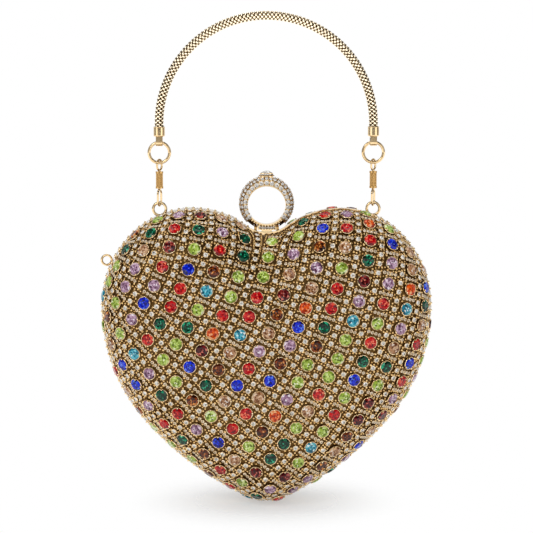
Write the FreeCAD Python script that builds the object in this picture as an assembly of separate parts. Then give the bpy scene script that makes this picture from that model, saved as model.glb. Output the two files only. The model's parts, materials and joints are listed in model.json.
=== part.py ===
import FreeCAD, Part
import math
import os

V = FreeCAD.Vector

# Heart outline over the stone tops: tangent arcs from the tip round to the cleft, in millimetres.
# A heading is the outline's direction in degrees: 0 along +X at the tip, 90 at the widest place.
tip_radius = 21.0
flank_radius = 149.0
side_radius = 84.6
shoulder_radius = 50.0
crown_radius = 42.0
inner_radius = 44.0
tip_heading = 25.0
flank_heading = 50.0
widest_heading = 90.0
shoulder_heading = 135.0
lobe_top_heading = 180.0
cleft_heading = 216.0

# Pillow section of each half: a roll-over at the rim that runs into a shallow crown
roll_radius = 24.0
roll_angle = 65.4
crown_rise = 7.0
crown_power = 4
crown_middle = 78.0
roll_sections = 6
crown_scales = (0.9, 0.75, 0.55, 0.35, 0.2)
loft_degree = 2

# Layers of each half, from the stone tops inwards
stone_height = 1.9
stone_radius = 2.95
stone_table = 0.62
stone_sides = 8
stone_seat = 0.15
mesh_wall = 0.9
layer_gap = 0.1
shell_wall = 0.8
lining_wall = 0.6

# Rim frames
frame_gap = 0.3
frame_depth = 1.95
frame_inset = 0.5
frame_width = 5.5

# Stone chains: concentric arcs about a point beside the heart, on the unrolled face
chain_centre_x = -141.5
chain_centre_z = 153.7
chain_first_radius = 41.3
chain_spacing = 11.54
chain_pitch = 9.6
chain_count = 26
stone_spacing = 0.35
rim_margin = 0.4
clasp_clear_radius = 12.0
hinge_clear_x = 11.0
hinge_clear_z = 9.0
hinge_clear_y = 5.6

# Crystal chains: a ridge between each pair of stone chains and one along the rim
ridge_half_width = 1.2
ridge_height = 1.1
ridge_top = 0.6
ridge_step = 3.0
ridge_lift = 0.3
ridge_gap = 0.25
border_run = 1.8

# Shares of the stone colours
stone_colours = (
    ("peridot", 20),
    ("ruby", 15),
    ("emerald", 13),
    ("champagne", 12),
    ("sapphire", 9),
    ("lavender", 9),
    ("topaz", 8),
    ("aqua", 6),
    ("orange", 5),
    ("garnet", 3),
)

# Hinge at the tip
hinge_z = 2.6
knuckle_radius = 1.5
hinge_half_length = 9.0
front_knuckle_half = 3.0
knuckle_gap = 0.2
knuckle_clear = 0.3
hinge_pin_radius = 0.6
hinge_pin_clear = 0.05

# Eyes on the rear frame
lug_heading = 158.9
lug_mean_radius = 3.05
lug_wire = 0.65
strap_eye_heading = 115.3
strap_eye_mean_radius = 2.35
strap_eye_wire = 0.55
eye_standoff = 2.05

# Links, rings and bails between the eyes and the handle
link_wire = 0.5
link_clear = 0.25
lower_loop_half = 2.2
lower_loop_straight = 3.3
lower_loop_twist = 20.0
upper_loop_half = 1.9
upper_loop_straight = 1.2
upper_loop_twist = 35.0
shank_radius = 0.7
shank_length = 1.6
shank_clear = 0.05
barrel_length = 8.2
barrel_radius = 1.4
barrel_rib = 0.28
barrel_ribs = 12
collar_radius = 1.85
collar_length = 0.9
ring_mean_radius = 4.9
ring_wire = 0.75
bail_clear = 0.2
bail_strap = 0.6
bail_width = 3.2
bail_rise = 2.7
stud_radius = 0.7
stud_clear = 0.05

# Arched handle
sleeve_radius = 2.3
sleeve_wall = 0.6
core_clear = 0.1
cap_height = 4.8
cap_wall = 0.35
cap_floor = 1.2
cap_clear = 0.05
cap_bead = 0.2
cap_round = 0.7
handle_tail = 1.5

# Finger ring clasp over the cleft
bore_radius = 9.1
band_width = 6.4
band_radius = 12.6
band_offset = 0.9
band_bevel = 1.5
foot_gap = 1.15
foot_thickness = 2.7
foot_half_width = 4.45
pin_back = 2.1
pin_up = 1.3
clasp_pin_radius = 0.6
clasp_pin_clear = 0.05
ear_gap = 0.2
ear_width = 1.3
ear_radius = 1.15
ear_clear = 0.35
spring_half_length = 1.6
spring_wall = 0.3
spring_clear = 0.1
lip_half_width = 2.5
lip_thickness = 0.65
lip_front = 1.0
lip_depth = 0.75
lip_flange = 0.5
lip_flange_back = 1.9
groove_side = 0.3
groove_front = 0.55
groove_under = 0.3
bezel_height = 1.9
bezel_half_x = 3.1
bezel_half_y = 2.0
bezel_wall = 0.45
bezel_sink = 1.2
centre_stone_rise = 2.1
centre_stone_clear = 0.05
ring_stone_radius = 0.95
ring_stone_height = 0.8
ring_stone_count = 19
ring_stone_sweep = 236.0
ring_stone_gap = 0.05

os.makedirs("parts", exist_ok=True)


def heart_arcs():
    """Centre, radius and headings of each arc of the outline's right half; the cleft's radius is negative."""
    runs = (
        (0.0, tip_heading, tip_radius),
        (tip_heading, flank_heading, flank_radius),
        (flank_heading, widest_heading, side_radius),
        (widest_heading, shoulder_heading, shoulder_radius),
        (shoulder_heading, lobe_top_heading, crown_radius),
        (lobe_top_heading, cleft_heading, inner_radius),
    )
    arcs = []
    x, z = 0.0, 0.0
    for start, end, radius in runs:
        a, b = math.radians(start), math.radians(end)
        cx, cz = x - radius * math.sin(a), z + radius * math.cos(a)
        arcs.append((cx, cz, radius, start, end))
        x, z = cx + radius * math.sin(b), cz - radius * math.cos(b)
    turn = math.radians(cleft_heading - lobe_top_heading)
    cleft = x / math.sin(turn)
    arcs.append((0.0, z + cleft * math.cos(turn), -cleft, lobe_top_heading, cleft_heading))
    return arcs


arcs = heart_arcs()


def arc_point(arc, heading, inset=0.0):
    cx, cz, radius, _, _ = arc
    h = math.radians(heading)
    reach = radius - inset
    return cx + reach * math.sin(h), cz - reach * math.cos(h)


def outline_at(heading, outward=0.0):
    """Point of the outline at a heading, moved outwards along its normal, on the right half."""
    for arc in arcs[:-1]:
        if arc[3] <= heading <= arc[4]:
            return arc_point(arc, heading, -outward)
    raise ValueError("no arc has this heading")


cleft_z = arc_point(arcs[-1], lobe_top_heading)[1]


def inset_of(x, z):
    """Distance inwards from the outline and the outward normal there."""
    best = None
    for cx, cz, radius, start, end in arcs:
        dx, dz = abs(x) - cx, z - cz
        side = 1.0 if radius > 0 else -1.0
        heading = math.degrees(math.atan2(side * dx, -side * dz)) % 360.0
        if not start - 1e-6 <= heading <= end + 1e-6:
            continue
        reach = math.hypot(dx, dz)
        inset = radius - side * reach
        if best is None or inset < best[0]:
            best = (inset, math.copysign(1.0, x) * side * dx / reach, side * dz / reach)
    return best


def heart_wire(inset, y, scale=1.0):
    """Closed outline moved inwards by an inset, at depth y, scaled about the crown's middle."""
    def at(arc, heading, mirror):
        px, pz = arc_point(arc, heading, inset)
        return V(mirror * px * scale, y, crown_middle + (pz - crown_middle) * scale)

    def edge(p, q, r):
        return Part.Arc(p, q, r).toShape()

    tip, cleft = arcs[0], arcs[-1]
    edges = [edge(at(tip, tip_heading, -1), at(tip, 0.0, 1), at(tip, tip_heading, 1))]
    for arc in arcs[1:-1]:
        middle = (arc[3] + arc[4]) / 2.0
        edges.append(edge(at(arc, arc[3], 1), at(arc, middle, 1), at(arc, arc[4], 1)))
    notch = (at(cleft, cleft_heading, 1), at(cleft, lobe_top_heading, 1), at(cleft, cleft_heading, -1))
    edges.append(edge(*notch))
    for arc in reversed(arcs[1:-1]):
        middle = (arc[3] + arc[4]) / 2.0
        edges.append(edge(at(arc, arc[4], -1), at(arc, middle, -1), at(arc, arc[3], -1)))
    return Part.Wire(edges)


rim_y = frame_gap / 2.0 + frame_depth
handle_y = frame_gap / 2.0 + frame_depth / 2.0
roll_limit = math.radians(roll_angle)


def roll_point(layer, angle):
    """Inset and depth of a layer on the roll-over, where layer counts inwards from the stone tops."""
    reach = roll_radius - layer
    return roll_radius - reach * math.cos(angle), rim_y + reach * math.sin(angle)


def layer_rise(layer):
    return crown_rise - layer * (1.0 - math.sin(roll_limit))


def pillow(layer):
    """Solid front half inside one layer, from the rim plane to the crown."""
    wires = []
    for step in range(roll_sections + 1):
        inset, depth = roll_point(layer, roll_limit * step / roll_sections)
        wires.append(heart_wire(inset, -depth))
    for scale in crown_scales:
        rise = layer_rise(layer) * (1.0 - scale ** crown_power)
        wires.append(heart_wire(inset, -depth - rise, scale))
    return Part.makeLoft(wires, True, False, False, loft_degree)


def to_rear(shape):
    return shape.mirror(V(0, 0, 0), V(0, 1, 0))


def prism(inset, y0, y1):
    return Part.Face(heart_wire(inset, y0)).extrude(V(0, y1 - y0, 0))


def box(x0, x1, y0, y1, z0, z1):
    return Part.makeBox(x1 - x0, y1 - y0, z1 - z0, V(x0, y0, z0))


def rod_x(x0, x1, y, z, radius):
    return Part.makeCylinder(radius, x1 - x0, V(x0, y, z), V(1, 0, 0))


def disc(x, y, z, radius):
    return Part.Face(Part.Wire(Part.makeCircle(radius, V(x, y, z), V(0, 0, 1))))


mesh_out = stone_height
mesh_in = mesh_out + mesh_wall
shell_out = mesh_in + layer_gap
shell_in = shell_out + shell_wall
lining_out = shell_in + layer_gap
lining_in = lining_out + lining_wall


def layer_shell(outer, inner):
    return pillow(outer).cut(pillow(inner))


notch_top = hinge_z + knuckle_radius + knuckle_clear


def rim_frame():
    """Flat heart-shaped rim of the front half, with a notch for the hinge barrel."""
    ring = prism(frame_inset, -rim_y, -frame_gap / 2.0).cut(prism(frame_inset + frame_width, -rim_y, 0.0))
    half = hinge_half_length + knuckle_clear
    return ring.cut(box(-half, half, -rim_y, rim_y, -tip_radius, notch_top))


def knuckle(x0, x1, side, hole):
    """Barrel and tab of one hinge leaf: side is -1 at the front frame and 1 at the rear one."""
    near, far = sorted((side * frame_gap / 2.0, side * rim_y))
    barrel = rod_x(x0, x1, 0.0, hinge_z, knuckle_radius)
    tab = box(x0, x1, near, far, hinge_z, notch_top)
    return barrel.fuse(tab).removeSplitter().cut(rod_x(x0, x1, 0.0, hinge_z, hole))


# Shape of the dome as a function of place, for seating the stones
join_inset, join_depth = roll_point(mesh_out, roll_limit)
mesh_reach = roll_radius - mesh_out
halvings = 40
slope_step = 0.5


def crown_depth(x, z):
    """Depth of the mesh inside the roll-over, from the scale of the outline that passes through the place."""
    low, high = 0.0, 1.0
    for _ in range(halvings):
        scale = (low + high) / 2.0
        found = inset_of(x / scale, crown_middle + (z - crown_middle) / scale)
        if found is not None and found[0] > join_inset:
            high = scale
        else:
            low = scale
    return join_depth + layer_rise(mesh_out) * (1.0 - high ** crown_power)


def seat(x, z, margin):
    """Point and outward normal of the front mesh for a place on the unrolled face, or None near its rim."""
    found = inset_of(x, z)
    if found is None:
        return None
    inset, nx, nz = found
    if inset >= join_inset:
        depth = crown_depth(x, z)
        slope_x = (crown_depth(x + slope_step, z) - crown_depth(x - slope_step, z)) / (2.0 * slope_step)
        slope_z = (crown_depth(x, z + slope_step) - crown_depth(x, z - slope_step)) / (2.0 * slope_step)
        return V(x, -depth, z), V(-slope_x, -1.0, -slope_z).normalize()
    angle = roll_limit - (join_inset - inset) / mesh_reach
    if angle * mesh_reach < margin:
        return None
    true_inset, depth = roll_point(mesh_out, angle)
    shift = true_inset - inset
    normal = V(nx * math.cos(angle), -math.sin(angle), nz * math.cos(angle))
    return V(x - nx * shift, -depth, z - nz * shift), normal


def overlap_lift(point, normal, reach):
    """How far a flat base has to rise to clear a mesh that curves up round it, as at the cleft."""
    across = normal.cross(V(0, 0, 1)).normalize()
    along = normal.cross(across)
    lift = 0.0
    for k in range(stone_sides):
        turn = 2.0 * math.pi * k / stone_sides
        corner = point + across * (reach * math.cos(turn)) + along * (reach * math.sin(turn))
        found = inset_of(corner.x, corner.z)
        if found is not None and found[0] < join_inset:
            from_roll = math.hypot(roll_radius - found[0], max(0.0, -corner.y - rim_y))
            lift = max(lift, mesh_reach - from_roll)
        elif found is not None:
            lift = max(lift, crown_depth(corner.x, corner.z) + corner.y)
    return lift


def scatter(a, b, seed):
    """Even spread of values from 0 to 1 that looks random."""
    return math.sin(a * 12.9898 + b * 78.233 + seed * 37.719) * 43758.5453 % 1.0


def kept_clear(point):
    near_clasp = math.hypot(point.x, point.z - cleft_z) < clasp_clear_radius and -point.y < clasp_clear_radius
    near_hinge = abs(point.x) < hinge_clear_x and point.z < hinge_clear_z and -point.y < hinge_clear_y
    return near_clasp or near_hinge


def chain_walk(side, column, pitch, offset):
    """Rows of one chain with their places on the unrolled face."""
    radius = chain_first_radius + chain_spacing * column
    steps = int(radius * math.pi / pitch)
    rows = []
    for row in range(-steps // 2, steps // 2):
        turn = (row + offset) * pitch / radius
        x = side * (chain_centre_x + radius * math.cos(turn))
        rows.append((row, x, chain_centre_z - radius * math.sin(turn)))
    return rows


def near_any(point, others, distance):
    return any(point.distanceToPoint(other[0]) < distance for other in others)


def stone_places(side, seed):
    """Seats of the large stones of one half as (point, normal, colour), found on the front."""
    spacing = 2.0 * stone_radius + stone_spacing
    placed = []
    for column in range(chain_count):
        for row, x, z in chain_walk(side, column, chain_pitch, scatter(column, 0, seed)):
            found = seat(x, z, stone_radius + rim_margin)
            if found is None or kept_clear(found[0]) or near_any(found[0], placed, spacing):
                continue
            placed.append((*found, colour_of(scatter(column, row, seed + 1))))
    return placed


def colour_of(value):
    total = sum(share for _, share in stone_colours)
    for name, share in stone_colours:
        value -= share / total
        if value < 0.0:
            return name
    return stone_colours[-1][0]


def polygon(radius, sides, z):
    turns = [2.0 * math.pi * k / sides for k in range(sides)]
    points = [V(radius * math.cos(t), radius * math.sin(t), z) for t in turns]
    return Part.makePolygon(points + points[:1])


def cut_stone(radius, height):
    base = polygon(radius, stone_sides, 0.0)
    table = polygon(radius * stone_table, stone_sides, height)
    return Part.makeLoft([base, table], True, True)


def placed_copy(shape, point, normal):
    placement = FreeCAD.Placement(point, FreeCAD.Rotation(V(0, 0, 1), normal))
    return shape.transformed(placement.toMatrix(), True)


def stones_by_colour(places):
    groups = {name: [] for name, _ in stone_colours}
    shape = cut_stone(stone_radius, stone_height - stone_seat)
    for point, normal, colour in places:
        raised = point + normal * (stone_seat + overlap_lift(point, normal, stone_radius))
        groups[colour].append(placed_copy(shape, raised, normal))
    return {name: Part.makeCompound(group) for name, group in groups.items()}


def border_walk():
    """Places along the rim on the unrolled face, from the cleft down to the tip and up to the cleft again."""
    inset = join_inset - roll_limit * mesh_reach + border_run
    right = []
    for arc in arcs[:-1]:
        sweep = arc[4] - arc[3]
        steps = math.ceil(math.radians(sweep) * (arc[2] - inset) / ridge_step)
        right += [arc_point(arc, arc[3] + sweep * k / steps, inset) for k in range(steps)]
    return [(-x, z) for x, z in reversed(right[1:])] + right


def ridge_runs(side, stones):
    """Unbroken stretches of the crystal chains' seats, clear of the stones, the hinge and the clasp."""
    stone_clear = stone_radius + ridge_half_width + ridge_gap
    rim_clear = border_run + 2.0 * ridge_half_width + ridge_gap
    paths = [(border_walk(), border_run / 2.0)]
    for gap in range(-1, chain_count):
        rows = chain_walk(side, gap + 0.5, ridge_step, 0.0)
        paths.append(([(x, z) for _, x, z in rows], rim_clear))
    runs = []
    for path, margin in paths:
        runs.append([])
        for x, z in path:
            found = seat(x, z, margin)
            if found is None or kept_clear(found[0]) or near_any(found[0], stones, stone_clear):
                runs.append([])
            else:
                runs[-1].append(found)
    return [run[::2] for run in runs if len(run[::2]) > 1]


def ridge(run):
    """Ridge with straight pieces from seat to seat, narrower at its top than at its foot."""
    wires = []
    for before, here, after in zip(run[:1] + run, run, run[1:] + run[-1:]):
        point, normal = here
        across = normal.cross(after[0] - before[0]).normalize()
        foot = point + normal * (ridge_lift + overlap_lift(point, normal, ridge_half_width))
        top = foot + normal * ridge_height
        low = across * ridge_half_width
        high = low * ridge_top
        wires.append(Part.makePolygon([foot - low, foot + low, top + high, top - high, foot - low]))
    return Part.makeLoft(wires, True, True)


def eye(heading, mean_radius, wire, side):
    """Round eye whose foot is cut to the rear frame's edge; returns its centre and its solid."""
    x, z = outline_at(heading, eye_standoff)
    centre = V(side * x, handle_y, z)
    loop = Part.makeTorus(mean_radius, wire, centre, V(0, 1, 0))
    return centre, loop.cut(prism(frame_inset, -rim_y, rim_y))


def wire_loop(low, straight, half, twist):
    """Oval loop of link wire that starts at height low, turned about Z."""
    z0 = low + half
    z1 = z0 + straight
    solid = disc(half, 0, z0, link_wire).revolve(V(0, 0, z0), V(0, 1, 0), 180)
    solid = solid.fuse(disc(half, 0, z1, link_wire).revolve(V(0, 0, z1), V(0, 1, 0), -180))
    for x in (-half, half):
        solid = solid.fuse(Part.makeCylinder(link_wire, straight, V(x, 0, z0)))
    solid.rotate(V(0, 0, 0), V(0, 0, 1), 90.0 - twist)
    return solid


lug_centre, right_lug = eye(lug_heading, lug_mean_radius, lug_wire, 1)
_, left_lug = eye(lug_heading, lug_mean_radius, lug_wire, -1)
_, strap_eye = eye(strap_eye_heading, strap_eye_mean_radius, strap_eye_wire, -1)

# Heights of the chain from the lug eye up to the handle
lug_pivot = lug_centre.z + lug_mean_radius
lower_loop_low = lug_pivot - lug_wire - link_wire - link_clear
barrel_low = lower_loop_low + 2.0 * lower_loop_half + lower_loop_straight + link_wire + shank_clear
barrel_high = barrel_low + barrel_length
upper_loop_low = barrel_high + shank_clear + link_wire
upper_loop_high = upper_loop_low + 2.0 * upper_loop_half + upper_loop_straight
link_pivot = upper_loop_high - link_wire - link_clear - ring_wire
ring_pivot = link_pivot + 2.0 * ring_mean_radius
cap_low = ring_pivot + bail_rise
cap_high = cap_low + cap_height
arch_z = cap_high + handle_tail
handle_x = lug_centre.x
grip_z = arch_z + handle_x - sleeve_radius


def link_loops():
    """Wire loops at both ends of a link, each with a shank that is fixed in the barrel."""
    shank = shank_length + shank_clear + link_wire
    lower = wire_loop(lower_loop_low, lower_loop_straight, lower_loop_half, lower_loop_twist)
    lower_top = barrel_low - shank_clear - link_wire
    lower = lower.fuse(Part.makeCylinder(shank_radius, shank, V(0, 0, lower_top)))
    upper = wire_loop(upper_loop_low, upper_loop_straight, upper_loop_half, upper_loop_twist)
    upper = upper.fuse(Part.makeCylinder(shank_radius, shank, V(0, 0, barrel_high - shank_length)))
    return Part.makeCompound([lower, upper])


def link_barrel():
    """Ribbed barrel with a collar at each end and a socket for each shank."""
    body = Part.makeCylinder(barrel_radius, barrel_length, V(0, 0, barrel_low))
    for k in range(barrel_ribs):
        turn = 2.0 * math.pi * k / barrel_ribs
        place = V(barrel_radius * math.cos(turn), barrel_radius * math.sin(turn), barrel_low)
        body = body.fuse(Part.makeCylinder(barrel_rib, barrel_length, place))
    for z in (barrel_low, barrel_high - collar_length):
        body = body.fuse(Part.makeCylinder(collar_radius, collar_length, V(0, 0, z)))
    socket = shank_radius + shank_clear
    for z in (barrel_low, barrel_high - shank_length - shank_clear):
        body = body.cut(Part.makeCylinder(socket, shank_length + shank_clear, V(0, 0, z)))
    return body


def bail():
    """Strap loop round the ring's top wire, with the stud that rivets it to the cap."""
    sag = ring_mean_radius - math.sqrt(ring_mean_radius ** 2 - (bail_width / 2.0) ** 2)
    inner = ring_wire + sag + bail_clear
    outer = inner + bail_strap
    half = bail_width / 2.0
    solid = rod_x(-half, half, 0.0, ring_pivot, outer)
    solid = solid.fuse(box(-half, half, -outer, outer, ring_pivot, cap_low))
    hollow = rod_x(-half, half, 0.0, ring_pivot, inner)
    hollow = hollow.fuse(box(-half, half, -inner, inner, ring_pivot, cap_low - bail_strap))
    stud = Part.makeCylinder(stud_radius, cap_floor, V(0, 0, cap_low))
    return solid.cut(hollow).fuse(stud).removeSplitter()


def end_cap():
    """Cup that the handle's sleeve is fixed in, with a bead at its mouth."""
    bore = sleeve_radius + cap_clear
    outer = bore + cap_wall
    cup = Part.makeCylinder(outer, cap_height, V(0, 0, cap_low))
    foot = [e for e in cup.Edges if e.BoundBox.ZMax < cap_low + cap_round]
    cup = cup.makeFillet(cap_round, foot)
    bead_z = cap_high - cap_bead
    cup = cup.fuse(Part.makeTorus(outer - cap_bead / 2.0, cap_bead, V(0, 0, bead_z), V(0, 0, 1)))
    cup = cup.cut(Part.makeCylinder(bore, cap_height, V(0, 0, cap_low + cap_floor)))
    return cup.cut(Part.makeCylinder(stud_radius + stud_clear, cap_floor, V(0, 0, cap_low)))


def arch(outer, inner, low):
    """Half-round arch of a round or tubular section with straight tails down to a height."""
    section = disc(handle_x, 0, arch_z, outer)
    if inner > 0.0:
        section = section.cut(disc(handle_x, 0, arch_z, inner))
    solid = section.revolve(V(0, 0, arch_z), V(0, 1, 0), -180)
    tail = section.extrude(V(0, 0, low - arch_z))
    solid = solid.fuse(tail).fuse(tail.mirror(V(0, 0, 0), V(1, 0, 0)))
    return solid.removeSplitter()


# Heights of the clasp above the cleft
frame_top = cleft_z - frame_inset
foot_z = frame_top + foot_gap
ring_z = foot_z + foot_thickness + bore_radius
band_z = ring_z + band_offset
band_top = band_z + band_radius
pin_y = handle_y + pin_back
pin_z = foot_z + pin_up
ear_in = foot_half_width + ear_gap
ear_out = ear_in + ear_width
band_front = handle_y - band_width / 2.0
band_back = handle_y + band_width / 2.0
spring_radius = clasp_pin_radius + spring_clear + spring_wall


def finger_ring():
    """Ring that is thick at the top and bevelled at both faces, on a foot that turns on the clasp pin."""
    band = Part.makeCylinder(band_radius, band_width, V(0, band_front, band_z), V(0, 1, 0))
    rims = [e for e in band.Edges if isinstance(e.Curve, Part.Circle)]
    band = band.makeChamfer(band_bevel, rims)
    foot = box(-foot_half_width, foot_half_width, band_front, band_back, foot_z, ring_z - bore_radius / 2.0)
    side = ear_out + ear_gap
    ear_room = pin_z + ear_radius + ear_clear
    for x0, x1 in ((-side, -foot_half_width), (foot_half_width, side)):
        band = band.cut(box(x0, x1, band_front, band_back, foot_z - foot_gap, ear_room))
    under = box(-foot_half_width, foot_half_width, band_front, band_back, 0.0, foot_z)
    solid = band.fuse(foot).cut(under)
    solid = solid.cut(Part.makeCylinder(bore_radius, band_width, V(0, band_front, ring_z), V(0, 1, 0)))
    solid = solid.cut(rod_x(-side, side, pin_y, pin_z, clasp_pin_radius + clasp_pin_clear))
    pocket = spring_half_length + spring_clear
    return solid.cut(rod_x(-pocket, pocket, pin_y, pin_z, spring_radius + spring_clear)).removeSplitter()


def clasp_bracket():
    """Two ears that stand on the rear frame's edge at the cleft and carry the clasp pin."""
    ears = []
    edge = prism(frame_inset, -rim_y, pin_y + ear_radius)
    for x0, x1 in ((-ear_out, -ear_in), (ear_in, ear_out)):
        ear = box(x0, x1, frame_gap / 2.0, pin_y, frame_top - foot_gap, pin_z)
        ear = ear.fuse(rod_x(x0, x1, pin_y, pin_z, ear_radius)).cut(edge)
        ears.append(ear.cut(rod_x(x0, x1, pin_y, pin_z, clasp_pin_radius)).removeSplitter())
    return Part.makeCompound(ears)


def catch_lip():
    """Blade under the ring's foot that drops into the front frame's groove."""
    low = frame_top - lip_depth
    blade = box(-lip_half_width, lip_half_width, -lip_front, lip_thickness - lip_front, low, foot_z)
    back = lip_flange_back - lip_front
    flange = box(-lip_half_width, lip_half_width, -lip_front, back, foot_z - lip_flange, foot_z)
    return blade.fuse(flange).removeSplitter()


def catch_groove():
    half = lip_half_width + groove_side
    low = frame_top - lip_depth - groove_under
    return box(-half, half, -lip_front - groove_front, 0.0, low, ring_z)


def oval(half_x, half_y, z, height, taper):
    """Oval solid over the ring, drawn in towards its top."""
    def wire(scale, level):
        points = [V(half_x * scale, handle_y, level), V(0, handle_y + half_y * scale, level)]
        ellipse = Part.Ellipse(points[0], points[1], V(0, handle_y, level))
        return Part.Wire(ellipse.toShape())
    return Part.makeLoft([wire(1.0, z), wire(taper, z + height)], True, True)


def stone_bezel():
    """Oval cup on top of the ring that holds the centre stone."""
    low = band_top - bezel_sink
    cup = oval(bezel_half_x, bezel_half_y, low, bezel_height + bezel_sink, 1.0)
    inner_x, inner_y = bezel_half_x - bezel_wall, bezel_half_y - bezel_wall
    cup = cup.cut(oval(inner_x, inner_y, band_top + bezel_height / 2.0, bezel_height, 1.0))
    return cup.cut(Part.makeCylinder(band_radius, band_width, V(0, band_front, band_z), V(0, 1, 0)))


def centre_stone():
    half_x = bezel_half_x - bezel_wall - centre_stone_clear
    half_y = bezel_half_y - bezel_wall - centre_stone_clear
    return oval(half_x, half_y, band_top + bezel_height / 2.0, centre_stone_rise, stone_table)


def ring_stones():
    """Row of small stones on the ring's front bevel, from one side of the foot over the top to the other."""
    shape = cut_stone(ring_stone_radius, ring_stone_height)
    middle = band_radius - band_bevel / 2.0
    stones = []
    for k in range(ring_stone_count):
        turn = math.radians(ring_stone_sweep * (k / (ring_stone_count - 1.0) - 0.5))
        out = V(math.sin(turn), 0, math.cos(turn))
        normal = (out - V(0, 1, 0)).normalize()
        place = V(0, band_front + band_bevel / 2.0, band_z) + out * middle + normal * ring_stone_gap
        stones.append(placed_copy(shape, place, normal))
    return Part.makeCompound(stones)


def save(name, shape):
    """Writes a node with the handle's grip at the origin."""
    moved = shape.copy()
    moved.translate(V(0, -handle_y, -grip_z))
    moved.exportStep("parts/" + name + ".step")


# Both halves of the case
layers = (
    ("mesh", layer_shell(mesh_out, mesh_in)),
    ("shell", layer_shell(shell_out, shell_in)),
    ("lining", layer_shell(lining_out, lining_in)),
)
for name, shape in layers:
    save("front_" + name, shape)
    save("rear_" + name, to_rear(shape))
frame = rim_frame()
save("front_frame", frame.cut(catch_groove()))
save("rear_frame", to_rear(frame))
for half, side, seed in (("front_", 1, 1), ("rear_", -1, 5)):
    places = stone_places(side, seed)
    trim = {"stones_" + name: shape for name, shape in stones_by_colour(places).items()}
    trim["crystal_chains"] = Part.makeCompound([ridge(run) for run in ridge_runs(side, places)])
    for name, shape in trim.items():
        save(half + name, shape if side > 0 else to_rear(shape))

# Hinge at the tip
rear_start = front_knuckle_half + knuckle_gap
rear_knuckles = [
    knuckle(x0, x1, 1, hinge_pin_radius)
    for x0, x1 in ((-hinge_half_length, -rear_start), (rear_start, hinge_half_length))
]
save("rear_knuckles", Part.makeCompound(rear_knuckles))
front_hole = hinge_pin_radius + hinge_pin_clear
save("front_knuckle", knuckle(-front_knuckle_half, front_knuckle_half, -1, front_hole))
save("hinge_pin", rod_x(-hinge_half_length, hinge_half_length, 0.0, hinge_z, hinge_pin_radius))

# Eyes, links, rings and handle
save("left_lug_eye", left_lug)
save("right_lug_eye", right_lug)
save("strap_eye", strap_eye)
ring_centre = V(0, 0, link_pivot + ring_mean_radius)
hanging = (
    ("link_barrel", link_barrel()),
    ("link_loops", link_loops()),
    ("ring", Part.makeTorus(ring_mean_radius, ring_wire, ring_centre, V(0, 1, 0))),
    ("bail", bail()),
    ("end_cap", end_cap()),
)
for name, shape in hanging:
    for side, x in (("left_", -handle_x), ("right_", handle_x)):
        moved = shape.copy()
        moved.translate(V(x, handle_y, 0))
        save(side + name, moved)
tail_low = cap_low + cap_floor
for name, outer, inner in (
    ("handle_sleeve", sleeve_radius, sleeve_radius - sleeve_wall),
    ("handle_core", sleeve_radius - sleeve_wall - core_clear, 0.0),
):
    shape = arch(outer, inner, tail_low)
    shape.translate(V(0, handle_y, 0))
    save(name, shape)

# Clasp
save("finger_ring", finger_ring())
save("stone_bezel", stone_bezel())
save("centre_stone", centre_stone())
save("ring_stones", ring_stones())
save("catch_lip", catch_lip())
save("clasp_bracket", clasp_bracket())
save("clasp_pin", rod_x(-ear_out, ear_out, pin_y, pin_z, clasp_pin_radius))
spring = rod_x(-spring_half_length, spring_half_length, pin_y, pin_z, spring_radius)
spring_bore = clasp_pin_radius + spring_clear
save("return_spring", spring.cut(rod_x(-spring_half_length, spring_half_length, pin_y, pin_z, spring_bore)))
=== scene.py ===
import json
import math
import bpy
import numpy as np
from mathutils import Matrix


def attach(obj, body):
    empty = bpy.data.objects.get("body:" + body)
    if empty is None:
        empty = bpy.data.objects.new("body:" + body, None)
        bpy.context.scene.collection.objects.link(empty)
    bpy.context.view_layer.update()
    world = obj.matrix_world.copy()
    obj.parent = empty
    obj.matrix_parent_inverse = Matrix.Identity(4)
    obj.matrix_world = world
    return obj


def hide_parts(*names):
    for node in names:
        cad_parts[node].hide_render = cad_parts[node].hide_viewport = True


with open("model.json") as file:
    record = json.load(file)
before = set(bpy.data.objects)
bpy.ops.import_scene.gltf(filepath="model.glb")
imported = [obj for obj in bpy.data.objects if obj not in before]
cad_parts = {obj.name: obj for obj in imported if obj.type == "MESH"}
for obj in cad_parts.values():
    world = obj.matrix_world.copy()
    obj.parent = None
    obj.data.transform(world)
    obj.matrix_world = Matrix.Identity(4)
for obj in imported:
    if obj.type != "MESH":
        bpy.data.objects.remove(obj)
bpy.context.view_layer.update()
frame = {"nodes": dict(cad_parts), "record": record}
nodes = frame["nodes"]
dice = np.random.default_rng(17)
mm = 0.001  # metres
perMetre = 1000.0  # mm
fullTurn = 2.0 * math.pi
print("frame loaded:", len(nodes), "nodes")


def linear(hexText):
    # sRGB hex to linear RGBA
    c = np.array([int(hexText[i:i + 2], 16) for i in (1, 3, 5)]) / 255.0
    c = np.where(c <= 0.04045, c / 12.92, ((c + 0.055) / 1.055) ** 2.4)
    return (*c.tolist(), 1.0)


def addNode(tree, kind, values=None, links=None, **props):
    # one node with its properties, socket values and incoming links
    node = tree.nodes.new(kind)
    for key, value in props.items():
        setattr(node, key, value)
    for key, value in (values or {}).items():
        node.inputs[key].default_value = value
    for key, source in (links or {}).items():
        tree.links.new(source, node.inputs[key])
    return node


def newMaterial(name, values):
    # a material with its Principled shader's constants set on the shader's own sockets
    made = bpy.data.materials.new(name)
    made.use_nodes = True
    shader = made.node_tree.nodes["Principled BSDF"]
    for key, value in values.items():
        shader.inputs[key].default_value = value
    return made, made.node_tree, shader


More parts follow.
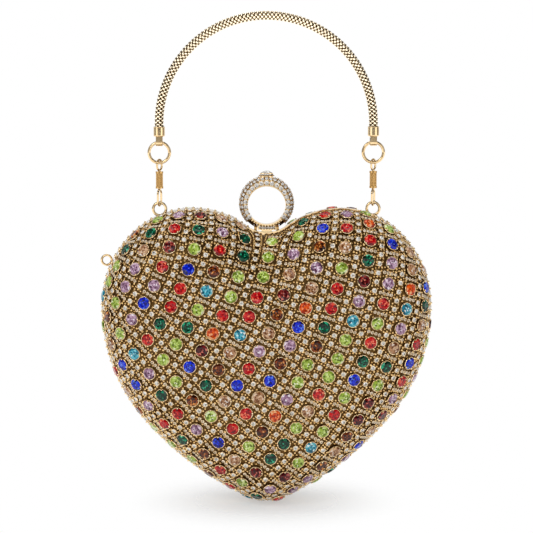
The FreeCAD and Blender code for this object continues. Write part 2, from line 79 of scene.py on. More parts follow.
def ramp(tree, source, stops):
    # colour ramp through (place, hex) stops
    node = addNode(tree, "ShaderNodeValToRGB", links={"Fac": source})
    while len(node.color_ramp.elements) < len(stops):
        node.color_ramp.elements.new(0.5)
    for element, (place, colour) in zip(node.color_ramp.elements, stops):
        element.position = place
        element.color = linear(colour)
    return node.outputs["Color"]


# materials

def platedMetal(name, dark, pale, roughness, grain, scratch):
    # polished plate: a mirror with paler clouds at random, and fine scratches
    # grain is the size of the clouds in mm; the scratches are finer by the share below
    fineShare = 0.15
    made, tree, shader = newMaterial(name, {"Metallic": 1.0})
    place = addNode(tree, "ShaderNodeTexCoord").outputs["Object"]
    cloud = addNode(tree, "ShaderNodeTexNoise", {"Scale": perMetre / grain, "Detail": 3.0},
                    {"Vector": place}).outputs["Fac"]
    tree.links.new(ramp(tree, cloud, ((0.3, dark), (0.7, pale))), shader.inputs["Base Color"])
    rough = addNode(tree, "ShaderNodeMapRange", {"To Min": roughness * 0.7, "To Max": roughness * 1.4},
                    {"Value": cloud})
    tree.links.new(rough.outputs["Result"], shader.inputs["Roughness"])
    fine = addNode(tree, "ShaderNodeTexNoise", {"Scale": perMetre / (grain * fineShare)}, {"Vector": place})
    bump = addNode(tree, "ShaderNodeBump", {"Strength": scratch, "Distance": 0.0001},
                   {"Height": fine.outputs["Fac"]})
    tree.links.new(bump.outputs["Normal"], shader.inputs["Normal"])
    return made


def foiledGlassPaintedReflections(name, stops):
    # foiled cut glass with painted reflections: each facet keeps a fixed patch of deep or bright colour, the
    # glints painted highlights, under a clear gloss
    made, tree, shader = newMaterial(name, {"Roughness": 0.1, "Specular IOR Level": 0.25})
    facet = addNode(tree, "ShaderNodeAttribute", attribute_name="tone")
    tree.links.new(ramp(tree, facet.outputs["Fac"], stops), shader.inputs["Base Color"])
    return made


# frames, rings and caps: a clean, pale mirror
polishedGold = platedMetal("polishedGoldPlate", "#C8AA7E", "#DCC49A", roughness=0.09, grain=6.0, scratch=0.02)
# barrels, bracket and ring claws: the same plate, deeper where it is turned or cast
turnedGold = platedMetal("turnedBarrelGold", "#A07C48", "#B8945E", roughness=0.14, grain=8.0, scratch=0.02)
# cups and claws: mottled, so that each catches the light in its own way
chainGold = platedMetal("cupChainGoldPlate", "#BC965E", "#F8E6C2", roughness=0.13, grain=1.2, scratch=0.06)
# grains: softer and deeper than the cups
grainGold = platedMetal("grainGoldPlate", "#A27C44", "#E0C28C", roughness=0.2, grain=1.2, scratch=0.06)
# backing mesh: dull gold darkened as painted shade between the stones
backingPaintedShadeGold = platedMetal("backingMeshPaintedShade", "#38260F", "#684C28", roughness=0.4, grain=0.8, scratch=0.3)
# pressed shell: plain sheet with a dull shine
shellGold = platedMetal("pressedShellGold", "#A57F40", "#C49B58", roughness=0.35, grain=3.0, scratch=0.06)
# spring: grey drawn steel
springSteel = platedMetal("drawnSpringSteel", "#8C8C8A", "#B5B5B2", roughness=0.25, grain=1.5, scratch=0.06)

# braided gold wire: painted shade darkens the pits and a painted highlight pales the crossings, by the height
# of the weave
braidGold, tree, shader = newMaterial("braidedGoldWirePaintedLight", {"Metallic": 1.0, "Roughness": 0.16})
weaveHeight = addNode(tree, "ShaderNodeAttribute", attribute_name="tone").outputs["Fac"]
braidPaintedShadeAndHighlight = ramp(tree, weaveHeight, ((0.1, "#120B04"), (0.3, "#8E6E40"), (0.55, "#FFF2D6")))
tree.links.new(braidPaintedShadeAndHighlight, shader.inputs["Base Color"])

# deep, body, bright and glint colour of each stone; body is its own colour, deep and bright are painted
# reflections, glint a painted highlight
stoneColours = {
    "peridot": ("#566A12", "#A6C244", "#D2E67E", "#F8FCD6"),
    "ruby": ("#66040C", "#BE0A14", "#E01A1C", "#FF8A64"),
    "emerald": ("#001A10", "#003624", "#005E40", "#34C494"),
    "champagne": ("#6A3818", "#B8845A", "#E8C4A0", "#FFF8F0"),
    "sapphire": ("#030752", "#081CCA", "#1038F0", "#6C94FF"),
    "lavender": ("#54304A", "#A27896", "#DCB8D2", "#FFF4FD"),
    "topaz": ("#220902", "#521E05", "#9C440C", "#F2A050"),
    "aqua": ("#0E5064", "#2A98B4", "#74D4E4", "#F0FEFF"),
    "orange": ("#922004", "#E04408", "#FA6C1A", "#FFC088"),
    "garnet": ("#220305", "#4E070D", "#8A181A", "#E8806C"),
}
stonePlaces = (0.1, 0.45, 0.75, 1.0)
stoneGlass = {
    colour: foiledGlassPaintedReflections(colour + "FoiledGlassPaintedReflections", tuple(zip(stonePlaces, stops)))
    for colour, stops in stoneColours.items()
}
# clear and blush crystals: facets painted from deep to glint, painted reflections and highlights as on the
# stones
clearCrystal = foiledGlassPaintedReflections("clearCutCrystal", (
    (0.0, "#3A3228"), (0.3, "#8E8476"), (0.6, "#DEDAD3"), (1.0, "#FFFFFF")))
blushCrystal = foiledGlassPaintedReflections("blushCutCrystal", (
    (0.0, "#5A4428"), (0.35, "#B49874"), (0.7, "#E2D2BA"), (1.0, "#FFFAF2")))

# satin lining: long threads one way give it a soft lengthways sheen
# threads of 0.3 mm are drawn at 0.6 mm to show; the folds are painted shade, clouds of darker colour and not
# folds in the cloth's shape
satinCloth = {"thread": 0.6, "paintedFoldShade": 30.0, "bump": 0.15}
satin, tree, shader = newMaterial("champagneSatin", {
    "Roughness": 0.45, "Sheen Weight": 0.5, "Sheen Roughness": 0.3})
place = addNode(tree, "ShaderNodeTexCoord").outputs["Object"]
# the wave texture runs through 20 x scale radians in a metre
threadScale = fullTurn * perMetre / satinCloth["thread"] / 20.0
warp = addNode(tree, "ShaderNodeTexWave", {"Scale": threadScale, "Distortion": 0.6}, {"Vector": place},
               bands_direction="X").outputs["Fac"]
paintedFoldShade = addNode(tree, "ShaderNodeTexNoise", {"Scale": perMetre / satinCloth["paintedFoldShade"]}, {"Vector": place})
shade = addNode(tree, "ShaderNodeMath", links={0: warp, 1: paintedFoldShade.outputs["Fac"]}, operation="MULTIPLY")
# colour: the thread stripes times the painted fold shade
satinThreadsAndPaintedShade = ramp(tree, shade.outputs["Value"], ((0.05, "#B8925E"), (0.6, "#DDBE90")))
tree.links.new(satinThreadsAndPaintedShade, shader.inputs["Base Color"])
bump = addNode(tree, "ShaderNodeBump", {"Strength": satinCloth["bump"], "Distance": 0.0001}, {"Height": warp})
tree.links.new(bump.outputs["Normal"], shader.inputs["Normal"])

slotMaterials = {
    "gold_metal": polishedGold, "gold_mesh": backingPaintedShadeGold, "gold_shell": shellGold, "braid": braidGold,
    "spring_steel": springSteel, "satin_lining": satin, "clear_crystal": clearCrystal,
}
slotMaterials.update({"stone_" + colour: made for colour, made in stoneGlass.items()})
for entry in frame["record"]["subparts"]:
    mesh = nodes[entry["node"]].data
    mesh.materials.clear()
    turnedPiece = "barrel" in entry["node"] or entry["node"] == "clasp_bracket"
    mesh.materials.append(turnedGold if turnedPiece else slotMaterials[entry["material_slot"]])
print("materials:", len(bpy.data.materials))


# the case in mm: heart outline of tangent arcs, rolled over at the rim, with a shallow crown
case = {
    "radii": (21.0, 149.0, 84.6, 50.0, 42.0, 44.0),  # tip to cleft
    "headings": (0.0, 25.0, 50.0, 90.0, 135.0, 180.0, 216.0),
    "roll": 24.0, "rollAngle": 65.4, "rise": 7.0, "power": 4, "middle": 78.0,
    "rimY": 2.1, "mesh": 1.9, "handleY": 1.125, "gripZ": 232.3682,
}
origin = np.array([0.0, case["handleY"], case["gripZ"]])
rollLimit = math.radians(case["rollAngle"])


def outlineArcs():
    # each arc starts where the last one ends with the same heading; the cleft's arc closes the right half
    arcs, x, z = [], 0.0, 0.0
    for start, end, radius in zip(case["headings"], case["headings"][1:], case["radii"]):
        a, b = math.radians(start), math.radians(end)
        cx, cz = x - radius * math.sin(a), z + radius * math.cos(a)
        arcs.append((cx, cz, radius, start, end))
        x, z = cx + radius * math.sin(b), cz - radius * math.cos(b)
    turn = math.radians(case["headings"][-1] - 180.0)
    cleft = x / math.sin(turn)
    return arcs + [(0.0, z + cleft * math.cos(turn), -cleft, case["headings"][-1], 180.0)]


arcs = outlineArcs()
cleftZ = arcs[-1][1] + arcs[-1][2]


def insetAt(x, z):
    # distance inwards from the nearest arc that faces the place, and the outward normal there
    slack = 1e-6
    best, nx, nz = np.full(x.shape, np.inf), np.zeros(x.shape), np.zeros(x.shape)
    for cx, cz, radius, start, end in arcs:
        side = math.copysign(1.0, radius)
        dx, dz = np.abs(x) - cx, z - cz
        heading = np.degrees(np.arctan2(side * dx, -side * dz)) % 360.0
        reach = np.hypot(dx, dz)
        inset = radius - side * reach
        faced = (heading >= min(start, end) - slack) & (heading <= max(start, end) + slack)
        hit = faced & (inset < best)
        best = np.where(hit, inset, best)
        nx = np.where(hit, np.where(x < 0, -side, side) * dx / reach, nx)
        nz = np.where(hit, side * dz / reach, nz)
    return best, nx, nz


def rollEnd(layer):
    # reach of the roll-over at a layer, and its inset and depth where the crown begins
    reach = case["roll"] - layer
    return reach, case["roll"] - reach * math.cos(rollLimit), case["rimY"] + reach * math.sin(rollLimit)


def crownRise(layer):
    return case["rise"] - layer * (1.0 - math.sin(rollLimit))


def crownDepth(x, z, layer):
    # end of the roll-over plus rise * (1 - scale^power)
    # scale shrinks the outline to pass through the place, and is found by halving
    halvings = 36
    _, joinInset, joinDepth = rollEnd(layer)
    low, high = np.zeros(x.shape), np.ones(x.shape)
    for _ in range(halvings):
        scale = (low + high) / 2.0
        inset = insetAt(x / scale, case["middle"] + (z - case["middle"]) / scale)[0]
        deep = np.isfinite(inset) & (inset > joinInset)
        high, low = np.where(deep, scale, high), np.where(deep, low, scale)
    return joinDepth + crownRise(layer) * (1.0 - high ** case["power"])


def unit(v):
    return v / np.linalg.norm(v, axis=-1, keepdims=True)


def domeAt(x, z, layer):
    # a place on the unrolled face to its point and normal on the front half, with its run in from the rim
    side = 0.5  # mm to either side, so that the crown's slope is taken over 1 mm
    reach, joinInset, _ = rollEnd(layer)
    inset, nx, nz = insetAt(x, z)
    rolled = inset < joinInset
    angle = np.where(rolled, rollLimit - (joinInset - inset) / reach, 0.0)
    shift = np.where(rolled, case["roll"] - reach * np.cos(angle) - inset, 0.0)
    depth = np.where(rolled, case["rimY"] + reach * np.sin(angle), crownDepth(x, z, layer))
    slopeX = crownDepth(x + side, z, layer) - crownDepth(x - side, z, layer)
    slopeZ = crownDepth(x, z + side, layer) - crownDepth(x, z - side, layer)
    crown = unit(np.stack([-slopeX, -np.ones(x.shape), -slopeZ], -1))
    rim = np.stack([nx * np.cos(angle), -np.sin(angle), nz * np.cos(angle)], -1)
    run = np.where(rolled, angle * reach, rollLimit * reach + inset - joinInset)
    point = np.stack([x - nx * shift, -depth, z - nz * shift], -1)
    return point, np.where(rolled[:, None], rim, crown), np.where(np.isfinite(inset), run, -1.0)


def seatsAt(half, x, z, tx, tz):
    # seats on the backing mesh: point, up, along the chain and across it
    # the rear half is the front turned over in y
    ahead = 0.3  # mm to the place that gives the chain's direction
    point, up, run = domeAt(x, z, case["mesh"])
    along = domeAt(x + ahead * tx, z + ahead * tz, case["mesh"])[0] - point
    flip = np.array([1.0, 1.0 if half == "front" else -1.0, 1.0])
    point, up, along = point * flip, up * flip, along * flip
    along = unit(along - up * np.sum(along * up, -1, keepdims=True))
    return {"at": point, "up": up, "along": along, "across": np.cross(along, up), "run": run}


def pick(seats, keep):
    return {key: value[keep] for key, value in seats.items()}


def moved(seats, across=0.0, along=0.0, up=0.0):
    shift = seats["across"] * across + seats["along"] * along + seats["up"] * up
    return {**seats, "at": seats["at"] + shift}


def apart(points, others):
    # distance from each point to the nearest of the others, a block of points at a time
    if len(others) == 0:
        return np.full(len(points), np.inf)
    blocks = np.array_split(points, len(points) // 500 + 1)
    return np.concatenate([np.linalg.norm(block[:, None] - others[None], axis=-1).min(1) for block in blocks])


def thinned(points, gap):
    # keeps a point only where no earlier kept one is nearer than the gap
    keep = np.ones(len(points), bool)
    near = np.linalg.norm(points[:, None] - points[None], axis=-1) < gap
    for i in range(len(points)):
        keep[i] = not (near[i, :i] & keep[:i]).any()
    return keep


# small repeated shapes, in mm, with x across, y along and z up

def halved(quads):
    # each four-sided face as two triangles
    return np.concatenate([quads[:, [0, 1, 2]], quads[:, [0, 2, 3]]])


def gridQuads(rows, count):
    # four-sided faces over rows of points that each close on themselves
    i, j = np.meshgrid(np.arange(rows - 1), np.arange(count), indexing="ij")
    a, b = i * count + j, i * count + (j + 1) % count
    return np.stack([a, a + count, b + count, b], -1).reshape(-1, 4)


def turned(profile, count):
    # a closed profile of (radius, height) carried round z
    profile = np.array(profile)
    turn = np.arange(count) * fullTurn / count
    grid = np.stack([profile[:, None, 0] * np.cos(turn), profile[:, None, 0] * np.sin(turn),
                     np.repeat(profile[:, 1:], count, 1)], -1)
    i, j = np.meshgrid(np.arange(len(profile)), np.arange(count), indexing="ij")
    after, below = (j + 1) % count, (i + 1) % len(profile)
    quads = np.stack([i * count + j, i * count + after, below * count + after, below * count + j], -1)
    return grid.reshape(-1, 3), halved(quads.reshape(-1, 4))


def cutStone(rings, sides):
    # rings of (radius, height) from foot to middle, each turned half a step from the last,
    # joined by triangles
    turn = np.arange(sides) * fullTurn / sides
    half = math.pi / sides
    rows = [np.stack([r * np.cos(turn + k * half), r * np.sin(turn + k * half), np.full(sides, h)], -1)
            for k, (r, h) in enumerate(rings[:-1])]
    points = np.concatenate(rows + [[[0.0, 0.0, rings[-1][1]], [0.0, 0.0, rings[0][1]]]])
    j = np.arange(sides)
    after = (j + 1) % sides
    faces = [np.stack([np.full(sides, len(points) - 1), after, j], -1)]
    for k in range(len(rows) - 1):
        low, high = k * sides, (k + 1) * sides
        faces.append(np.stack([low + j, low + after, high + j], -1))
        faces.append(np.stack([low + after, high + after, high + j], -1))
    top = (len(rows) - 1) * sides
    faces.append(np.stack([top + j, top + after, np.full(sides, len(points) - 2)], -1))
    return points, np.concatenate(faces)


def bead(radius, squash=1.0):
    # a low ball of six sides: rings half way up and down, where a ball has 0.87 of its radius
    lift = radius * 0.5 * squash
    wide = radius * 0.87
    return cutStone(((wide, -lift), (wide, lift), (0.0, radius * squash)), sides=6)


def repeat(shape, seats, spin=0.0, grow=1.0):
    # a copy of a shape on each seat, spun about its up axis
    points, faces = shape
    count = len(seats["at"])
    spin = np.broadcast_to(spin, (count,))[:, None]
    grow = np.broadcast_to(grow, (count,))[:, None, None]
    across = seats["across"] * np.cos(spin) + seats["along"] * np.sin(spin)
    along = seats["along"] * np.cos(spin) - seats["across"] * np.sin(spin)
    axes = np.stack([across, along, seats["up"]], 1)
    placed = seats["at"][:, None] + grow * np.einsum("vk,nkc->nvc", points, axes)
    index = faces[None] + (np.arange(count) * len(points))[:, None, None]
    return placed.reshape(-1, 3), index.reshape(-1, faces.shape[1])


def joined(parts):
    # several (points, faces) as one
    starts = np.cumsum([0] + [len(points) for points, _ in parts[:-1]])
    points = np.concatenate([points for points, _ in parts])
    return points, np.concatenate([faces + start for (_, faces), start in zip(parts, starts)])


def putPiece(name, shape, body, material, replaced=(), smooth=True, tone=None):
    # a mesh piece from mm in the case's frame, riding on a body
    points, faces = shape
    mesh = bpy.data.meshes.new(name)
    mesh.from_pydata(((points - origin) * mm).tolist(), [], faces.tolist())
    mesh.polygons.foreach_set("use_smooth", np.full(len(faces), smooth))
    if tone is not None:
        domain = "POINT" if len(tone) == len(points) else "FACE"
        mesh.attributes.new("tone", "FLOAT", domain).data.foreach_set("value", tone)
    mesh.materials.append(material)
    mesh.update()
    piece = bpy.data.objects.new(name, mesh)
    bpy.context.scene.collection.objects.link(piece)
    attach(piece, body)
    if replaced:
        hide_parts(*replaced)
    return piece


def facetPaintedReflections(cut, count):
    # painted reflections: a tone for each facet from deep to glint, a level for each ring of facets and a
    # scatter about it
    sides = cut["sides"]
    perRing = [sides] + [2 * sides] * (len(cut["levels"]) - 2) + [sides]
    rings = np.repeat(cut["levels"], perRing)
    return np.clip(np.tile(rings, count) + cut["spread"] * dice.standard_normal(count * len(rings)), 0.0, 1.0)


def stoneSet(cut, seats, grow=1.0):
    # a cut stone on each seat at a chance turn, and the painted reflection tones of its facets
    count = len(seats["at"])
    spin = dice.random(count) * cut["spin"]
    stones = repeat(cutStone(cut["rings"], cut["sides"]), moved(seats, up=cut["up"]), spin, grow)
    return stones, facetPaintedReflections(cut, count)


def clawedCups(cut, seats):
    # a turned cup under each stone and a claw at each of its four corners
    out = cut["clawOut"]
    parts = [repeat(turned(cut["cup"], cut["cupSides"]), seats)]
    for sx, sy in ((1, 1), (1, -1), (-1, 1), (-1, -1)):
        parts.append(repeat(bead(*cut["claw"]), moved(seats, sx * out, sy * out, cut["clawUp"])))
    return parts


# chains over both halves: arcs about one centre, far off to the side
chains = {
    "centreX": -141.5, "centreZ": 153.7, "first": 41.3, "spacing": 11.54, "pitch": 9.6, "count": 26,
    "farX": 105.0, "lowZ": -25.0, "highZ": 185.0,  # seats beyond these are off the heart
}
columns = np.arange(chains["count"])


def scatter(a, seed):
    # even spread of values from 0 to 1, the same as for the solids
    return np.sin(a * 12.9898 + seed * 37.719) * 43758.5453 % 1.0


def chainSeats(half, radius, pitch, offset):
    # seats every pitch along arcs of these radii about the chains' centre
    side = 1.0 if half == "front" else -1.0
    most = int(math.pi / 2.0 * radius.max() / pitch) + 1
    turn = (np.arange(-most, most)[None] + offset[:, None]) * pitch / radius[:, None]
    inside = np.abs(turn) < math.pi / 2.0
    reach = np.broadcast_to(radius[:, None], turn.shape)[inside]
    turn = turn[inside]
    x = side * (chains["centreX"] + reach * np.cos(turn))
    z = chains["centreZ"] - reach * np.sin(turn)
    near = (np.abs(x) < chains["farX"]) & (z > chains["lowZ"]) & (z < chains["highZ"])
    x, z, turn = x[near], z[near], turn[near]
    return seatsAt(half, x, z, -side * np.sin(turn), -np.cos(turn))


# room left about the clasp's foot and the hinge barrel, in mm
leftFree = {
    "inner": {"foot": 10.0, "footDeep": 5.0, "barrel": 11.0, "barrelTop": 9.0, "barrelDeep": 5.6},
    "border": {"foot": 9.0, "footDeep": 8.0, "barrel": 10.5, "barrelTop": 7.0, "barrelDeep": 5.6},
    "grains": {"foot": 8.0, "footDeep": 5.0, "barrel": 10.5, "barrelTop": 7.0, "barrelDeep": 4.0},
}


def clearOf(seats, free):
    x, y, z = seats["at"].T
    foot = (np.hypot(x, z - cleftZ) < free["foot"]) & (np.abs(y) < free["footDeep"])
    barrel = (np.abs(x) < free["barrel"]) & (z < free["barrelTop"]) & (np.abs(y) < free["barrelDeep"])
    return ~foot & ~barrel


# stretch from the cleft to the right eye, where the smooth frame shows above the stones
bareEdge = {"farX": 47.0, "run": 2.6}


def bareRim(seats):
    x, _, z = seats["at"].T
    return (x > 0.0) & (x < bareEdge["farX"]) & (z > cleftZ) & (seats["run"] < bareEdge["run"])


# large stones in clawed cups
# rings and cup are (radius, height); levels and spread are the facets' painted reflection tones; run is the
# way in from the rim
gem = {
    "rings": ((2.75, 0.5), (2.95, 1.1), (1.95, 1.83), (0.95, 1.74), (0.0, 1.82)), "sides": 8, "up": 0.12,
    "spin": fullTurn, "levels": (0.2, 0.2, 0.52, 0.42, 0.52), "spread": 0.29,
    "cup": ((2.6, 0.05), (3.15, 0.1), (3.28, 0.8), (3.22, 1.0), (3.1, 1.07), (2.9, 0.98)), "cupSides": 14,
    "claw": (0.5, 0.9), "clawOut": 2.12, "clawUp": 1.42,
    "near": 3.4, "run": 2.0,  # a seat this near to a solid stone is its own
}


def gemSeats(half, seed):
    # the solids' own stones: their middles matched to the chains' seats, by colour
    radius = chains["first"] + chains["spacing"] * columns
    seats = chainSeats(half, radius, chains["pitch"], scatter(columns, seed))
    found = {}
    for colour in stoneColours:
        mesh = nodes[half + "_stones_" + colour].data
        points = np.empty(len(mesh.vertices) * 3)
        mesh.vertices.foreach_get("co", points)
        points = points.reshape(-1, 3) * perMetre + origin
        gap = np.linalg.norm(seats["at"][:, None] - points[None], axis=-1).min(1)
        found[colour] = pick(seats, (gap < gem["near"]) & (seats["run"] > gem["run"]))
    return found


# small clear crystals, in chains midway between the large stones and round the rim
# apart and off are least distances between middles
crystal = {
    "rings": ((0.95, 0.3), (1.1, 0.85), (0.62, 1.34), (0.0, 1.22)), "sides": 6, "up": 0.15,
    "spin": 6.3, "levels": (0.2, 0.42, 0.9, 0.45), "spread": 0.26,
    "cup": ((0.9, 0.0), (1.35, 0.05), (1.4, 0.9), (1.26, 1.06), (1.1, 1.0)), "cupSides": 8,
    "claw": (0.34, 1.0), "clawOut": 0.98, "clawUp": 1.0,
    "pitch": 4.2, "run": 3.6, "apart": 3.2, "offGems": 4.5,
}
border = {"pitch": 3.4, "run": 1.8, "apart": 2.6, "offGems": 3.6, "samples": 200}
knob = {"ball": (0.8, 1.3), "up": 1.0, "offGems": 4.1}


def crystalSeats(half, gems):
    radius = chains["first"] + chains["spacing"] * (np.arange(-1, chains["count"]) + 0.5)
    seats = chainSeats(half, radius, crystal["pitch"], dice.random(len(radius)))
    seats = pick(seats, seats["run"] > crystal["run"])
    seats = pick(seats, clearOf(seats, leftFree["inner"]))
    seats = pick(seats, thinned(seats["at"], crystal["apart"]))
    return pick(seats, apart(seats["at"], gems) > crystal["offGems"])


def rimSteps(half, offset):
    # seats at even steps round the heart, a short run in from the rim
    ahead = 0.2  # mm to the place that gives the rim's direction
    reach, joinInset, _ = rollEnd(case["mesh"])
    inset = joinInset - rollLimit * reach + border["run"]
    x, z = [], []
    for cx, cz, radius, start, end in arcs:
        heading = np.radians(np.linspace(start, end, border["samples"]))
        x.append(cx + (radius - inset) * np.sin(heading))
        z.append(cz - (radius - inset) * np.cos(heading))
    x, z = np.concatenate(x), np.concatenate(z)
    x, z = np.concatenate([x, -x[::-1]]), np.concatenate([z, z[::-1]])
    line = domeAt(x, z, case["mesh"])[0]
    length = np.concatenate([[0.0], np.cumsum(np.linalg.norm(np.diff(line, axis=0), axis=1))])
    steps = np.arange(int(length[-1] / border["pitch"])) + offset
    steps = steps * length[-1] / len(steps)
    bx, bz = np.interp(steps, length, x), np.interp(steps, length, z)
    tx, tz = np.interp(steps + ahead, length, x) - bx, np.interp(steps + ahead, length, z) - bz
    size = np.maximum(np.hypot(tx, tz), 1e-9)
    seats = seatsAt(half, bx, bz, tx / size, tz / size)
    return pick(seats, clearOf(seats, leftFree["border"]))


def borderSeats(half, gems):
    seats = rimSteps(half, 0.0)
    seats = pick(seats, thinned(seats["at"], border["apart"]) & ~bareRim(seats))
    return pick(seats, apart(seats["at"], gems) > border["offGems"])


def knobSeats(half, gems):
    # half a step from the border's crystals, to scallop the outline
    seats = rimSteps(half, 0.5)
    seats = pick(seats, ~bareRim(seats))
    return pick(seats, apart(seats["at"], gems) > knob["offGems"])


# short rows of blush stones across the chains, between one large stone and the next
crossStone = {
    "rings": ((0.7, 0.2), (0.82, 0.6), (0.45, 0.98), (0.0, 0.92)), "sides": 6, "up": 0.1,
    "spin": 6.3, "levels": (0.2, 0.3, 0.68, 0.45), "spread": 0.2,
    "cup": ((0.6, 0.0), (0.95, 0.05), (0.95, 0.66), (0.78, 0.78)), "cupSides": 6,
    "step": 1.85, "count": 4, "run": 3.6, "apart": 1.5, "offGems": 3.9, "offCrystals": 2.1,
}


def crossSeats(half, seed, gems, crystals):
    rows = []
    for k in range(crossStone["count"]):
        radius = chains["first"] + chains["spacing"] * columns
        row = chainSeats(half, radius, chains["pitch"], scatter(columns, seed) + 0.5)
        row = moved(row, (k - (crossStone["count"] - 1) / 2.0) * crossStone["step"])
        row = pick(row, (row["run"] > crossStone["run"]) & clearOf(row, leftFree["inner"]))
        row = pick(row, apart(row["at"], gems) > crossStone["offGems"])
        rows.append(pick(row, apart(row["at"], crystals) > crossStone["offCrystals"]))
    seats = {key: np.concatenate([row[key] for row in rows]) for key in rows[0]}
    return pick(seats, thinned(seats["at"], crossStone["apart"]))


# grains of gold fill what the stones leave free, in rows that follow the chains
grain = {
    "ball": (0.8, 0.9), "up": 0.3, "least": 0.75, "more": 0.3, "rows": 8, "pitch": 1.4, "run": 0.8,
    "apart": 1.05, "offGems": 3.55, "offCrystals": 1.6, "offCross": 1.15,
}


def grainSeats(half, gems, crystals, cross):
    rows = np.arange(grain["rows"] * (chains["count"] + 1)) / grain["rows"] - 1.0
    radius = chains["first"] + chains["spacing"] * rows
    seats = chainSeats(half, radius, grain["pitch"], dice.random(len(rows)))
    seats = pick(seats, (seats["run"] > grain["run"]) & clearOf(seats, leftFree["grains"]))
    for points, gap in ((gems, "offGems"), (crystals, "offCrystals"), (cross, "offCross")):
        seats = pick(seats, apart(seats["at"], points) > grain[gap])
    return pick(seats, thinned(seats["at"], grain["apart"]) & ~bareRim(seats))


for half, seed in (("front", 1), ("rear", 5)):
    body = half + "_half"
    byColour = gemSeats(half, seed)
    gems = np.concatenate([seats["at"] for seats in byColour.values()])
    cups = []
    for colour, seats in byColour.items():
        stones, tones = stoneSet(gem, seats)
        putPiece(half + "Gems" + colour.capitalize(), stones, body, stoneGlass[colour],
                 (half + "_stones_" + colour,), smooth=False, tone=tones)
        cups += clawedCups(gem, seats)
    inner, outer = crystalSeats(half, gems), borderSeats(half, gems)
    crystals = np.concatenate([inner["at"], outer["at"]])
    smallStones, smallTones, smallCups = [], [], []
    for seats in (inner, outer):
        stones, tones = stoneSet(crystal, seats)
        smallStones.append(stones)
        smallTones.append(tones)
        smallCups += clawedCups(crystal, seats)
    smallCups.append(repeat(bead(*knob["ball"]), moved(knobSeats(half, gems), up=knob["up"])))
    cross = crossSeats(half, seed, gems, crystals)
    stones, tones = stoneSet(crossStone, cross)
    putPiece(half + "CrossCrystals", stones, body, blushCrystal, smooth=False, tone=tones)
    smallCups.append(repeat(turned(crossStone["cup"], crossStone["cupSides"]), cross))
    grains = grainSeats(half, gems, crystals, cross["at"])
    grown = grain["least"] + grain["more"] * dice.random(len(grains["at"]))
    putPiece(half + "CrystalChain", joined(smallStones), body, clearCrystal,
             (half + "_crystal_chains",), smooth=False, tone=np.concatenate(smallTones))
    putPiece(half + "CupChain", joined(cups), body, chainGold)
    putPiece(half + "CrystalCups", joined(smallCups), body, chainGold)
    balls = repeat(bead(*grain["ball"]), moved(grains, up=grain["up"]), 0.0, grown)
    putPiece(half + "GoldGrains", balls, body, grainGold)
    print(half, "chains:", len(gems), "stones", len(crystals), "crystals", len(cross["at"]), "cross stones",
          len(grown), "grains")


# satin lining of each half: the same dome a layer further in, drawn into small puckers at the rim
lining = {
    "layer": 3.95, "pucker": 0.14, "puckers": 150, "fade": 0.18, "rollRows": 12, "crownRows": 10, "steps": 24,
    "last": 0.02, "flat": (0.19, 0.185),  # last is the scale of the innermost row, flat the cloth in m
}


def liningSheet():
    # front lining, row by row from the rim in, with its faces
    table = np.array(arcs)
    along = np.linspace(0.0, 1.0, lining["steps"], endpoint=False)
    heading = np.radians(table[:, 3:4] + (table[:, 4:5] - table[:, 3:4]) * along).ravel()
    cx, cz, radius = (np.repeat(table[:, k], lining["steps"]) for k in (0, 1, 2))
    # roll-over: each arc's radius less the inset, with waves of the reach that die away from the rim
    angle = np.linspace(0.0, rollLimit, lining["rollRows"])[:, None]
    wave = 1.0 + np.sin(np.linspace(0.0, lining["puckers"] * math.pi, len(heading)))
    reach = case["roll"] - lining["layer"] - lining["pucker"] * np.exp(-angle / lining["fade"]) * wave
    inset, depth = case["roll"] - reach * np.cos(angle), case["rimY"] + reach * np.sin(angle)
    x, z = cx + (radius - inset) * np.sin(heading), cz - (radius - inset) * np.cos(heading)
    # crown: the last row of the roll-over shrunk about the middle, deeper by rise * (1 - shrink^power)
    shrink = np.linspace(1.0, lining["last"], lining["crownRows"])[1:, None]
    rise = crownRise(lining["layer"]) * (1.0 - shrink ** case["power"])
    x = np.concatenate([x, x[-1] * shrink])
    z = np.concatenate([z, case["middle"] + (z[-1] - case["middle"]) * shrink])
    depth = np.concatenate([depth, depth[-1] + rise])
    right = np.stack([x, -depth, z], -1)
    grid = np.concatenate([right, (right * [-1.0, 1.0, 1.0])[:, ::-1]], 1)
    rows, count = grid.shape[:2]
    j = np.arange(count)
    inmost = (rows - 1) * count
    fan = np.stack([inmost + j, np.full(count, rows * count), inmost + (j + 1) % count], -1)
    points = np.concatenate([grid.reshape(-1, 3), [[0.0, grid[-1, 0, 1], case["middle"]]]])
    return points, np.concatenate([halved(gridQuads(rows, count)), fan])


sheet, faces = liningSheet()
for half, flip in (("front", 1.0), ("rear", -1.0)):
    cloth = putPiece(half + "Lining", (sheet * [1.0, flip, 1.0], faces[:, ::int(flip)]), half + "_half",
                     satin, (half + "_lining",))

# braided handle over its core: a tube along the arch with diamond bumps where the wires cross
handle = {
    "x": 51.3528, "archZ": 183.3154, "low": 178.2154, "radius": 1.86, "bump": 0.44, "around": 5, "step": 1.9,
    "rowsPerStep": 10, "pointsPerBump": 12,
}
tail = handle["archZ"] - handle["low"]
length = math.pi * handle["x"] + 2.0 * tail
rows, count = int(length / handle["step"] * handle["rowsPerStep"]), handle["around"] * handle["pointsPerBump"]
v, u = np.meshgrid(np.linspace(0.0, length, rows), np.arange(count) * fullTurn / count, indexing="ij")
